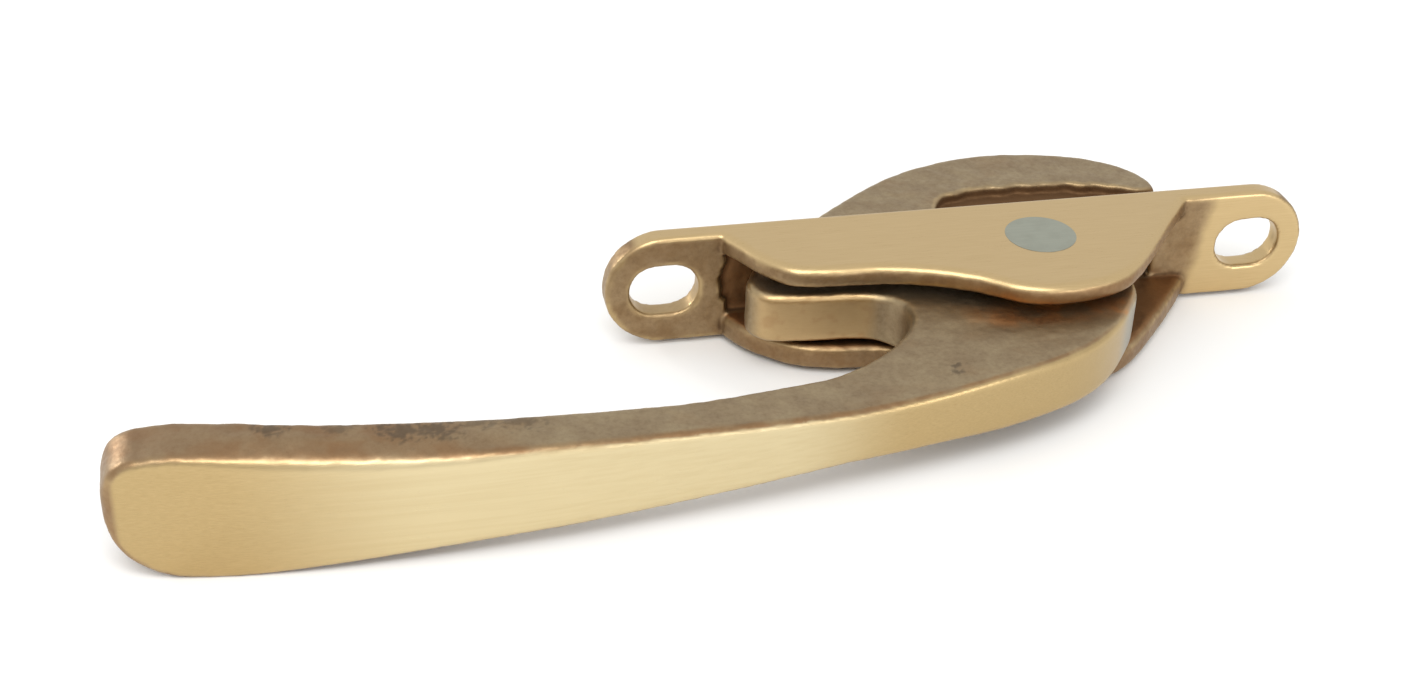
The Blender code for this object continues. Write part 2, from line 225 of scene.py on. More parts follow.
# Colours as display values, 0 to 255. The bronzes list dull and clean casting, deep corners
# (their dirt and painted shade), and the low and high of a ground face.
BRACKET_BRONZE = [(142, 116, 84), (156, 132, 100), (84, 58, 38), (198, 171, 124), (209, 183, 137)]
LEVER_BRONZE = [(151, 132, 104), (163, 145, 115), (88, 66, 46), (175, 151, 106), (188, 163, 118)]
RUSSET = (150, 116, 80)
# Lighter tone of the painted sheen on the arm's middle and the nose.
PAINTED_SHEEN_TONE = (209, 193, 154)
PALE = (160, 156, 142)
WORN_EDGE = (206, 180, 132)
# Darker tone: painted shade in the bracket's recess, between its flanges and in the lever's pocket, and a
# browner tone on other cast faces.
BROWN_AND_PAINTED_SHADE = (138, 100, 66)
# Orange tone of the painted bounce light under the upper flange, also a light tint on the nose.
PAINTED_BOUNCE_AND_TINT = (206, 148, 92)
STAIN = (92, 80, 66)
STEEL = [(158, 161, 147), (170, 172, 158)]
STEEL_CLOUD = (150, 152, 138)
BRASS = [(168, 132, 74), (196, 160, 96)]
TARNISH = (112, 84, 50)
FLOOR_TONES = [(244, 244, 242), (247, 247, 246)]

# Floor, light and camera. The floor is in millimetres, the rest in metres, watts and degrees.
FLOOR_HALF = 2000.0
WORLD_STRENGTH = 0.9
CAMERA_AZIMUTH = -13.24548
CAMERA_ELEVATION = 32.423891
CAMERA_ROLL = 2.111101
CAMERA_DISTANCE = 0.24127358
CAMERA_TARGET = Vector((-0.027964167, 0.0, -0.009514301))
CAMERA_NEAR = 0.01
SENSOR_WIDTH = 36.0
LENS = 55.792069

# Area lights: name, place, aim, (width, height), power. The two close ones only draw the bright
# lines on the grip's upper edge, and the camera can't see them.
MIDDLE = (-0.025, -0.01, 0.0)
LIGHTS = [
    ("key", (-0.15, -0.35, 0.62), MIDDLE, (0.5, 0.4), 1.9),
    ("front_right", (0.32, -0.62, 0.2), MIDDLE, (0.35, 0.3), 1.05),
    ("left", (-0.39, 0.325, 0.15), MIDDLE, (0.08, 0.08), 0.5),
]
CLOSE_LIGHTS = [
    ("strip", (-0.07, -0.085, 0.07), (-0.07, -0.085, 0.0), (0.05, 0.03), 0.014),
    ("rim", (-0.06, -0.1, 0.09), (-0.075, -0.035, 0.006), (0.03, 0.02), 0.006),
]


# Shapes

def smooth_through(knots, steps=CURVE_STEPS):
    """Points of a smooth curve through the knots, with both ends kept."""
    ends = [tuple(2 * a - b for a, b in zip(knots[0], knots[1]))]
    ends += list(knots)
    ends.append(tuple(2 * a - b for a, b in zip(knots[-1], knots[-2])))
    curve = []
    for before, start, end, after in zip(ends, ends[1:], ends[2:], ends[3:]):
        for step in range(steps):
            t = step / steps
            curve.append(tuple(
                0.5 * (2 * b + (c - a) * t + (2 * a - 5 * b + 4 * c - d) * t ** 2
                       + (3 * b - a - 3 * c + d) * t ** 3)
                for a, b, c, d in zip(before, start, end, after)))
    curve.append(tuple(knots[-1]))
    return curve


def value_at(curve, x):
    """The second coordinate of a curve that runs along x, at one x."""
    for (x0, v0), (x1, v1) in zip(curve, curve[1:]):
        if x <= x1:
            return v0 + (v1 - v0) * (x - x0) / (x1 - x0)
    return curve[-1][1]


def arc(centre, radius, start, end, steps):
    """Points of an arc from one angle to another, in degrees."""
    angles = [math.radians(start + (end - start) * i / steps) for i in range(steps + 1)]
    return [(centre[0] + radius * math.cos(a), centre[1] + radius * math.sin(a)) for a in angles]


def inset(outline, distance):
    """An anticlockwise closed outline moved inwards by one distance."""
    moved = []
    count = len(outline)
    for i, point in enumerate(outline):
        before = Vector(outline[i - 1])
        here = Vector(point)
        after = Vector(outline[(i + 1) % count])
        first = (here - before).normalized()
        second = (after - here).normalized()
        inward = Vector((-first.y - second.y, first.x + second.x)).normalized()
        widen = max(0.5, inward.dot(Vector((-first.y, first.x))))
        moved.append(tuple(here + inward * (distance / widen)))
    return moved


def solid(name, vertices, faces):
    """A mesh object from points in millimetres, with its faces turned outwards."""
    mesh = bpy.data.meshes.new(name)
    mesh.from_pydata([[c * MM for c in v] for v in vertices], [], faces)
    work = bmesh.new()
    work.from_mesh(mesh)
    bmesh.ops.triangulate(work, faces=[f for f in work.faces if len(f.verts) > 4])
    bmesh.ops.recalc_face_normals(work, faces=work.faces)
    work.to_mesh(mesh)
    work.free()
    made = bpy.data.objects.new(name, mesh)
    bpy.context.scene.collection.objects.link(made)
    return made


def rim_levels(rounding):
    """(inset, drop) pairs from the side wall up and over a rounded rim."""
    if not rounding:
        return [(0.0, 0.0)]
    angles = [math.pi / 2 * i / ROUND_STEPS for i in range(ROUND_STEPS + 1)]
    return [(rounding * (1 - math.cos(a)), rounding * (1 - math.sin(a))) for a in angles]


def slab(name, outline, top, bottom, rounding, caps):
    """A flat piece of the given plan. top(x, y) and bottom(x, y) give its faces and
    both rims are rounded. caps lists each end face as indices of the outline."""
    rings = []
    for distance, drop in reversed(rim_levels(rounding)):
        rings.append([(x, y, bottom(x, y) + drop) for x, y in inset(outline, distance)])
    for distance, drop in rim_levels(rounding):
        rings.append([(x, y, top(x, y) - drop) for x, y in inset(outline, distance)])
    vertices = [v for ring in rings for v in ring]
    count = len(outline)
    faces = []
    for level in range(len(rings) - 1):
        for i in range(count):
            j = (i + 1) % count
            low = level * count
            faces.append((low + i, low + j, low + count + j, low + count + i))
    last = (len(rings) - 1) * count
    for cap in caps:
        faces.append(tuple(reversed(cap)))
        faces.append(tuple(last + i for i in cap))
    return solid(name, vertices, faces)


def flat_slab(name, outline, low, high, rounding=0.0):
    return slab(name, outline, lambda x, y: high, lambda x, y: low, rounding, [range(len(outline))])


def upright_slab(name, outline, front, back, rounding=0.0):
    """A slab stood on edge: its plan is (x, z) and its faces lie at y = front and back."""
    made = flat_slab(name, outline, -back, -front, rounding)
    for vertex in made.data.vertices:
        x, z, depth = vertex.co
        vertex.co = (x, -depth, z)
    return made


def spindle(name, profile, centre):
    """A solid turned piece: profile runs from its lower end to its upper end."""
    vertices = []
    faces = []
    for radius, z in profile:
        for i in range(PIN_SIDES):
            angle = 2 * math.pi * i / PIN_SIDES
            vertices.append((centre[0] + radius * math.cos(angle),
                             centre[1] + radius * math.sin(angle), z))
    for row in range(len(profile) - 1):
        for i in range(PIN_SIDES):
            j = (i + 1) % PIN_SIDES
            low = row * PIN_SIDES
            faces.append((low + i, low + j, low + PIN_SIDES + j, low + PIN_SIDES + i))
    faces.append(tuple(range(PIN_SIDES)))
    faces.append(tuple((len(profile) - 1) * PIN_SIDES + i for i in range(PIN_SIDES)))
    return solid(name, vertices, faces)


def bore(radius, reach):
    """A cutter along the pin's axis."""
    return spindle("bore", [(radius, -reach), (radius, reach)], (PIN_X, PIN_Y))


def stadium(length, height, centre_x, sides):
    """A round-ended outline in the plate's plane, as (x, z) pairs."""
    radius = height / 2
    reach = length / 2 - radius
    return (arc((centre_x + reach, 0.0), radius, -90, 90, sides)
            + arc((centre_x - reach, 0.0), radius, 90, 270, sides))


def apply_modifiers(target):
    evaluated = target.evaluated_get(bpy.context.evaluated_depsgraph_get())
    mesh = bpy.data.meshes.new_from_object(evaluated)
    target.modifiers.clear()
    target.data = mesh


def cut(target, cutter):
    modifier = target.modifiers.new("cut", "BOOLEAN")
    modifier.operation = "DIFFERENCE"
    modifier.solver = "EXACT"
    modifier.object = cutter
    apply_modifiers(target)
    bpy.data.objects.remove(cutter)


def one_skin(name, solids):
    """One even skin of small faces around several overlapping solids."""
    work = bmesh.new()
    for piece in solids:
        work.from_mesh(piece.data)
        bpy.data.objects.remove(piece)
    mesh = bpy.data.meshes.new(name)
    work.to_mesh(mesh)
    work.free()
    made = bpy.data.objects.new(name, mesh)
    bpy.context.scene.collection.objects.link(made)
    modifier = made.modifiers.new("skin", "REMESH")
    modifier.mode = "VOXEL"
    modifier.voxel_size = VOXEL * MM
    apply_modifiers(made)
    made.data.shade_smooth()
    return made


class Skin:
    """The points of an object's mesh as arrays in millimetres, to shape and to mark."""

    def __init__(self, target):
        self.mesh = target.data
        self.count = len(self.mesh.vertices)
        points = np.empty(self.count * 3)
        self.mesh.vertices.foreach_get("co", points)
        self.points = points.reshape(-1, 3) / MM
        ends = np.empty(len(self.mesh.edges) * 2, int)
        self.mesh.edges.foreach_get("vertices", ends)
        self.starts, self.ends = ends.reshape(-1, 2).T
        self.links = np.bincount(ends, minlength=self.count)[:, None]

    def around(self, values):
        """The mean of the neighbours' values at each point."""
        columns = [
            np.bincount(self.starts, column[self.ends], self.count)
            + np.bincount(self.ends, column[self.starts], self.count)
            for column in values.T
        ]
        return np.stack(columns, 1) / self.links

    def relax(self, rounds, keep_volume=True):
        """Moves points toward their neighbours' mean, and back out again to keep the volume."""
        for _ in range(rounds):
            self.points += RELAX_IN * (self.around(self.points) - self.points)
            if keep_volume:
                self.points -= RELAX_OUT * (self.around(self.points) - self.points)

    def store(self):
        self.mesh.vertices.foreach_set("co", (self.points * MM).ravel())
        self.mesh.update()

    def normals(self):
        self.store()
        values = np.empty(self.count * 3)
        self.mesh.vertices.foreach_get("normal", values)
        return values.reshape(-1, 3)

    def bulge(self, rounds):
        """How far each point stands out of its surroundings: positive on edges, negative in corners."""
        soft = self.points.copy()
        for _ in range(rounds):
            soft = self.around(soft)
        return np.einsum("ij,ij->i", self.points - soft, self.normals())

    def mark(self, name, values):
        attribute = self.mesh.attributes.new(name, "FLOAT", "POINT")
        attribute.data.foreach_set("value", np.clip(values, 0, 1).astype(np.float32))


def ramp(values, low, high):
    """0 below low, 1 above high and smooth between them."""
    t = np.clip((values - low) / (high - low), 0, 1)
    return t * t * (3 - 2 * t)


def grain(points, size, seed):
    """Smooth random values from about -1 to 1, with features of the given size."""
    shift = Vector((seed, seed * 1.7, seed * 2.3))
    return np.array([noise.fractal(Vector(p) / size + shift, 1.0, 2.0, 3) for p in points])


def band(values, rise, fall):
    """1 where the values lie between two soft limits and 0 outside them."""
    return ramp(values, *rise) * (1 - ramp(values, *fall))


def patchy(points, size, seed, least, soft=(-0.3, 0.4)):
    """Random patches of the given size, from least to 1."""
    return least + (1 - least) * ramp(grain(points, size, seed), *soft)


def unevenness(points, size, seed, fine_seed):
    """Height of a cast face: gentle waves of the given size and a fine roughness."""
    return grain(points, size, seed) * WAVE_HEIGHT + grain(points, FINE_SIZE, fine_seed) * FINE_HEIGHT


def worn_edges(skin, seed):
    """Where an edge stands out and has been rubbed bright, in patches."""
    return ramp(skin.bulge(EDGE_ROUNDS), *EDGE_BULGE) * patchy(skin.points, 2.5, seed, 0.4)


def corner_dirt_and_shade(skin):
    """Where a corner is hollow: darkened for the dirt it holds and as painted shade."""
    return ramp(-skin.bulge(CORNER_ROUNDS), *CORNER_HOLLOW)


def flange(name, front_edge, low, high):
    """One flange: the curved front edge closed by a straight back inside the plate."""
    curve = smooth_through(front_edge)
    back = -PLATE_THICKNESS / 4
    outline = [(curve[0][0], back)] + curve + [(curve[-1][0], back)]
    return flat_slab(name, outline, low, high, FLANGE_ROUND)


def make_bracket():
    """Plate with slotted ears and a window, and the two flanges that carry the pin."""
    front = -PLATE_THICKNESS
    before = front - CUT_OVERRUN
    plate_outline = stadium(2 * PLATE_END, 2 * HALF_HEIGHT, 0.0, EAR_SIDES)
    plate = upright_slab("plate", plate_outline, front, 0.0, PLATE_ROUND)
    for side in (-1, 1):
        outline = stadium(SLOT_LENGTH, SLOT_WIDTH, side * HOLE_PITCH / 2, SLOT_SIDES)
        cut(plate, upright_slab("slot", outline, before, CUT_OVERRUN))
    recess = [(WINDOW_LEFT + CUT_OVERRUN, LOWER_INNER), (WINDOW_LEFT + CUT_OVERRUN, UPPER_INNER)]
    recess += [(RECESS_LEFT + out, z) for out, z in FLASH]
    cut(plate, upright_slab("recess", recess, before, front + RECESS_DEPTH))
    window = [(WINDOW_LEFT, LOWER_INNER), (WINDOW_RIGHT, LOWER_INNER),
              (WINDOW_RIGHT, UPPER_INNER), (WINDOW_LEFT, UPPER_INNER)]
    cut(plate, upright_slab("window", window, before, CUT_OVERRUN))
    upper = flange("upper", UPPER_FLANGE, UPPER_INNER, HALF_HEIGHT)
    lower = flange("lower", LOWER_FLANGE, -HALF_HEIGHT, LOWER_INNER)
    for piece in (upper, lower):
        cut(piece, bore(FLANGE_BORE, HALF_HEIGHT + CUT_OVERRUN))
    return one_skin("bracket_casting", [plate, upper, lower])


def lever_top(heights, x, y):
    """Height of the lever's upper face: level over the hub and nose, swelling along the arm."""
    if y > NOSE_FRONT_Y:
        return HUB_HALF_HEIGHT
    if x < TIP_X + TIP_TOP_RADIUS:
        reach = TIP_X + TIP_TOP_RADIUS - x
        return TIP_TOP_CENTRE_Z + math.sqrt(max(0.0, TIP_TOP_RADIUS ** 2 - reach ** 2))
    return value_at(heights, x)


def lever_bottom(heights, x, y):
    """Height of the lever's lower face, the mirror of the upper one except at the grip's end."""
    if x < TIP_X + TIP_LOW_RADIUS:
        reach = TIP_X + TIP_LOW_RADIUS - x
        return TIP_LOW_CENTRE_Z - math.sqrt(max(0.0, TIP_LOW_RADIUS ** 2 - reach ** 2))
    return -lever_top(heights, x, y)


def plan_round(x):
    """How far the grip's plan is drawn in near its end by the round of its corners."""
    reach = max(0.0, TIP_X + TIP_PLAN_ROUND - x)
    return TIP_PLAN_ROUND - math.sqrt(max(0.0, TIP_PLAN_ROUND ** 2 - reach ** 2))


def pocket_outline():
    """The pocket's outline, with a slightly wavy far rim."""
    rim = [(x, y + POCKET_WAVE * sum(math.sin(rate * x + phase) for rate, phase in POCKET_WAVE_RATES))
           for x, y in smooth_through(POCKET)]
    near_side = [(rim[0][0], POCKET_FRONT_Y), (POCKET_RIGHT, POCKET_FRONT_Y), (POCKET_RIGHT, rim[-1][1])]
    return near_side + list(reversed(rim))


def make_lever():
    """Grip, arm, hub, nose and cam in one casting, bored for the pin."""
    round_end = TIP_X + TIP_LOW_RADIUS
    turns = [math.pi / 2 * i / TIP_STATIONS for i in range(TIP_STATIONS)]
    stations = [TIP_X + TIP_LOW_RADIUS * (1 - math.cos(turn)) for turn in turns]
    stations += [round_end + (ARM_END_X - round_end) * i / ARM_STATIONS for i in range(ARM_STATIONS + 1)]
    heights = smooth_through(ARM_HEIGHTS)
    front_curve = smooth_through(ARM_FRONT)
    back_curve = smooth_through(ARM_BACK)
    front = [(x, value_at(front_curve, x) + plan_round(x)) for x in stations]
    back = [(x, value_at(back_curve, x) - plan_round(x)) for x in stations]
    hub = smooth_through(HUB_FRONT)[1:] + smooth_through(CAM_BACK)[1:]
    nose = smooth_through(NOSE_AND_NOTCH)[1:-1]
    outline = front + hub + nose + list(reversed(back))
    total = len(outline)
    last = len(stations) - 1
    caps = [(i, i + 1, total - 2 - i, total - 1 - i) for i in range(last)]
    caps.append(range(last, total - last))
    lever = slab("lever_casting", outline, lambda x, y: lever_top(heights, x, y),
                 lambda x, y: lever_bottom(heights, x, y), LEVER_ROUND, caps)
    above = HUB_HALF_HEIGHT + CUT_OVERRUN
    cut(lever, bore(HUB_BORE, above))
    cut(lever, flat_slab("pocket", pocket_outline(), HUB_HALF_HEIGHT - POCKET_DEPTH, above))
    return one_skin("lever_casting", [lever])


def make_pin():
    """The pin, flared at both ends to fill the flanges' countersinks."""
    flare = RIVET_RADIUS - SHANK_RADIUS
    upper_half = [
        (SHANK_RADIUS, HALF_HEIGHT - flare), (RIVET_RADIUS, HALF_HEIGHT),
        (RIVET_RADIUS - DOME_RIM, HALF_HEIGHT + 0.8 * PIN_DOME),
        (RIVET_RADIUS - DOME_FLAT, HALF_HEIGHT + PIN_DOME),
    ]
    lower_half = [(radius, -z) for radius, z in reversed(upper_half)]
    return spindle("pivot_pin_filed", lower_half + upper_half, (PIN_X, PIN_Y))


# Finishes. Limits on x, y and z are millimetres in the shared frame. Limits on nx, ny and nz say
# how squarely a face has to look along that axis.

def finish_bracket(target):
    """Softens the casting's edges, makes its rough faces uneven and marks each kind of face, painted shade
    and sheen among them.
    """
    skin = Skin(target)
    skin.relax(EVEN_ROUNDS)
    skin.relax(BRACKET_SOFT_ROUNDS, keep_volume=False)
    x, y, z = skin.points.T
    ny, nz = skin.normals().T[1:]

    # The ground colour also covers the rounded rims of the flanges' tops: partly ground face, partly a
    # painted highlight.
    top = ramp(nz, 0.25, 0.6) * ramp(z, *TOP_FACE_Z)
    ear_front = ramp(-ny, 0.7, 0.92) * (1 - ramp(np.abs(y + PLATE_THICKNESS), *EAR_FRONT_DEPTH))
    slanted = x - 0.15 * z + 0.4 * grain(skin.points, 2.0, 61.0)
    right_ear = ear_front * ramp(slanted, *RIGHT_EAR_GROUND_X)
    back = ramp(ny, 0.85, 0.97) * ramp(y, *PLATE_BACK_Y)
    # Painted reflection: the slot walls get the bright ground colour, fully in the right ear and about
    # half in the left.
    from_slot = np.abs(np.abs(x) - HOLE_PITCH / 2)
    painted_slot_sheen = (1 - ramp(from_slot, *SLOT_REACH_X)) * (1 - ramp(np.abs(z), *SLOT_REACH_Z))
    painted_slot_sheen *= (1 - ramp(np.abs(ny), 0.4, 0.8)) * (0.45 + 0.55 * (x > 0))
    ground = np.maximum.reduce([top, right_ear, back, painted_slot_sheen])

    from_pin = np.hypot(x - PIN_X, y - PIN_Y)
    clear_of_washers = np.maximum(ramp(from_pin, *WASHER_RIM), ramp(np.abs(z), *FLANGE_TOP_Z))
    outward = unevenness(skin.points, 1.6, 3.0, 9.0) * (1 - ground) * clear_of_washers
    outward += GROWTH_BRACKET * (1 - ramp(np.abs(nz), 0.4, 0.8))
    skin.points += skin.normals() * outward[:, None]

    # Painted shade: the recess beside the left ear and the plate between the flanges are darkened. The
    # flanges' front sides get the same darker tone, more on the upper flange's right part.
    painted_recess_shade = band(x, RECESS_MARK_X, (WINDOW_LEFT, WINDOW_LEFT + 0.5)) * ramp(-ny, 0.3, 0.7)
    painted_recess_shade *= ramp(y, -2.2, -2.0) * ramp(-y, 1.0, 1.3)
    painted_shade_between_flanges = ramp(UPPER_INNER + 0.3 - z, 0.0, 0.2) * ramp(z - LOWER_INNER + 0.3, 0.0, 0.2)
    painted_shade_between_flanges *= ramp(-y, 2.5, 2.7)
    flange_rim = ramp(-ny, 0.3, 0.7) * ramp(-y, 3.0, 4.0) * (1 - ramp(nz, 0.2, 0.5))
    flange_rim *= np.where(z > 0, 0.5 * ramp(x, -8.0, 4.0), 0.35)
    skin.mark("ground", ground)
    skin.mark("edge", worn_edges(skin, 31.0))
    # Hollow corners darkened: dirt and painted shade.
    skin.mark("corner", corner_dirt_and_shade(skin))
    skin.mark("brown_and_painted_shade", np.maximum.reduce([painted_recess_shade, painted_shade_between_flanges, flange_rim]))
    skin.store()


def shape_lever(skin):
    """Swells the hub, thins the nose and wears the grip's upper edge round. Returns the fully
    relaxed points, which place the marks without their following the surface's roughness."""
    x, y, z = skin.points.T
    side = np.sign(z) * ramp(np.abs(z), 1.0, 2.6)
    swell = ramp(-y, 18.5, 23.0) * ramp(x, -14.0, -2.0) * HUB_SWELL
    thinning = band(y, (-13.0, -11.5), (-9.0, -5.0)) * (1 - ramp(x, -12.5, -10.0)) * NOSE_THINNING
    from_front = y - np.interp(x, *np.array(smooth_through(ARM_FRONT)).T)
    worn = band(x, (-87.0, -76.0), (-66.0, -48.0)) * (1 - ramp(from_front, 0.0, 3.2)) * ramp(z, 1.5, 4.5)
    skin.points[:, 2] += side * (swell - thinning) - GRIP_WEAR * worn
    sharp = skin.points.copy()
    skin.relax(GRIP_WEAR_ROUNDS, keep_volume=False)
    soft = skin.points
    skin.points = sharp + (soft - sharp) * worn[:, None]
    return soft


def stains_at(points, x, y):
    """Ragged dark stains, each stretched along the arm."""
    stain = np.zeros(len(points))
    ragged = 0.9 * grain(points, 0.55, 21.0)
    for at_x, at_y, radius, strength in STAINS:
        distance = np.hypot((x - at_x) / 1.5, y - at_y) / radius
        stain = np.maximum(stain, strength * (1 - ramp(distance + ragged, *STAIN_EDGE)))
    return stain


def finish_lever(target):
    """Softens the casting's edges, shapes its ends and marks the ground front, the stains, and painted
    sheen, bounce light and shade.
    """
    skin = Skin(target)
    skin.relax(EVEN_ROUNDS)
    skin.relax(LEVER_SOFT_ROUNDS, keep_volume=False)
    x, y, z = shape_lever(skin).T
    nx, ny, nz = skin.normals().T

    square_edge = band(x, (-62.0, -46.0), (-20.0, -10.0))
    facing = ramp(-0.8 * ny + 0.6 * nx, 0.42 + 0.2 * square_edge, 0.72)
    front = facing * ramp(-y, 9.5, 12.5) * (1 - ramp(z - x + TIP_X, 3.4, 4.4))
    notch = band(x, (-26.0, -24.0), (-9.5, -9.0)) * ramp(y, -14.0, -12.5)
    nose = notch * (1 - ramp(x, -14.0, -12.0)) * ramp(-ny, 0.3, 0.8)
    # On the nose the ground colour is a painted reflection: it lightens a face that would otherwise show
    # the dark reflection of the arm.
    ground = np.maximum(front * (1 - notch), 0.85 * nose)

    clear_of_washers = ramp(np.hypot(x - PIN_X, y - PIN_Y), *WASHER_FADE)
    outward = unevenness(skin.points, 1.8, 5.0, 12.0) * (1 - 0.9 * ground) + GROWTH_LEVER
    skin.points += skin.normals() * (outward * clear_of_washers)[:, None]

    # Painted sheen: the middle of the arm's ground front, and a little of the nose, are made lighter in
    # place of a brighter reflection.
    mid_arm_painted_sheen = band(x, (-82.0, -60.0), (-28.0, -14.0)) * ramp(-y, 20.0, 28.0)
    # Painted bounce light: the hub's top beside the upper flange is made lighter and more orange, for
    # light the flange throws back.
    painted_bounce_under_flange = band(-y, (14.0, 17.0), (18.5, 21.0)) * ramp(x, -7.0, 1.0) * ramp(nz, 0.4, 0.8)
    painted_bounce_under_flange *= patchy(skin.points, 3.0, 51.0, 0.3, (-0.3, 0.3))
    near_rim = ramp(-ny, 0.02, 0.25) * ramp(-y, 20.0, 24.0) * patchy(skin.points, 3.0, 43.0, 0.5)
    toward_tip = (1 - ramp(x, -68.0, -48.0)) * patchy(skin.points, 4.0, 57.0, 0.6, (-0.3, 0.3))
    browned = np.maximum(0.8 * near_rim, 0.75 * toward_tip) * (1 - ground)
    nose_mottle = nose * ramp(grain(skin.points, 1.6, 71.0), 0.1, 0.6)
    # Painted shade: the pocket is darkened, and so is the arm's upper front edge toward the hub.
    painted_pocket_shade = band(y, (0.5, 1.0), (9.5, 9.8)) * ramp(x, -1.8, -1.2) * band(z, (1.2, 1.5), (2.3, 2.7))
    painted_shade_upper_edge = band(nz, (0.25, 0.45), (0.88, 0.97)) * ramp(-ny, 0.15, 0.35) * ramp(-y, 18.0, 22.0)
    skin.mark("ground", ground)
    skin.mark("edge", worn_edges(skin, 37.0))
    skin.mark("painted_sheen", np.maximum(mid_arm_painted_sheen, 0.25 * nose))
    skin.mark("pale", ramp(x, *PALE_PATCH_X))
    skin.mark("stain", stains_at(skin.points, x, y) * ramp(nz, 0.2, 0.7))
    skin.mark("painted_bounce_and_tint", np.maximum(0.85 * painted_bounce_under_flange, 0.2 * nose))
    # Browner tone near the arm's front rim and toward the tip, painted shade in the pocket, mottles on the
    # nose.
    skin.mark("brown_and_painted_shade", np.maximum.reduce([browned, 0.6 * painted_pocket_shade, 0.35 * nose_mottle]))
    skin.mark("corner", np.maximum.reduce([corner_dirt_and_shade(skin), painted_pocket_shade, 0.5 * square_edge * painted_shade_upper_edge]))
    skin.store()


# Materials

def tone(red, green, blue):
    """A colour from its display values, 0 to 255."""
    channels = [c / 255 for c in (red, green, blue)]
    return (*[c / 12.92 if c < 0.04045 else ((c + 0.055) / 1.055) ** 2.4 for c in channels], 1.0)


def add_node(tree, kind, inputs=None, **settings):
    """A node with its settings, and its inputs given as values or as other nodes' outputs."""
    made = tree.nodes.new(kind)
    for key, value in settings.items():
        setattr(made, key, value)
    for key, value in (inputs or {}).items():
        if isinstance(value, bpy.types.NodeSocket):
            tree.links.new(value, made.inputs[key])
        else:
            made.inputs[key].default_value = value
    return made


def mix(tree, factor, first, second):
    return add_node(tree, "ShaderNodeMix", {0: factor, 6: first, 7: second}, data_type="RGBA").outputs[2]


def maths(tree, operation, first, second=0.0):
    return add_node(tree, "ShaderNodeMath", {0: first, 1: second}, operation=operation).outputs[0]


def spread(tree, value, low, high, to_low=0.0, to_high=1.0):
    """A value from low..high stretched over to_low..to_high, and held inside it."""
    inputs = {"Value": value, "From Min": low, "From Max": high, "To Min": to_low, "To Max": to_high}
    return add_node(tree, "ShaderNodeMapRange", inputs).outputs["Result"]


def mask(tree, name):
    return add_node(tree, "ShaderNodeAttribute", attribute_name=name).outputs["Fac"]


def place(tree, scale):
    """The object's own coordinates in millimetres, stretched by a scale for each axis."""
    inside = add_node(tree, "ShaderNodeTexCoord").outputs["Object"]
    inputs = {"Vector": inside, "Scale": [s / MM for s in scale]}
    return add_node(tree, "ShaderNodeMapping", inputs).outputs["Vector"]


def speckle(tree, scale, detail=3.0, roughness=0.55):
    """Random values with features of 1 / scale millimetres along each axis."""
    inputs = {"Vector": place(tree, scale), "Scale": 1.0, "Detail": detail, "Roughness": roughness}
    return add_node(tree, "ShaderNodeTexNoise", inputs).outputs["Fac"]


def bump(tree, height, strength, depth):
    """Relief from a height, with its depth in millimetres."""
    inputs = {"Height": height, "Strength": strength, "Distance": depth * MM}
    return add_node(tree, "ShaderNodeBump", inputs).outputs["Normal"]


def new_material(name):
    made = bpy.data.materials.new(name)
    made.use_nodes = True
    return made, made.node_tree, made.node_tree.nodes["Principled BSDF"]


def connect(tree, shader, colour, rough, normal):
    """Gives a metal's shader its colour, roughness and relief."""
    tree.links.new(colour, shader.inputs["Base Color"])
    tree.links.new(rough, shader.inputs["Roughness"])
    tree.links.new(normal, shader.inputs["Normal"])
    shader.inputs["Metallic"].default_value = 1.0


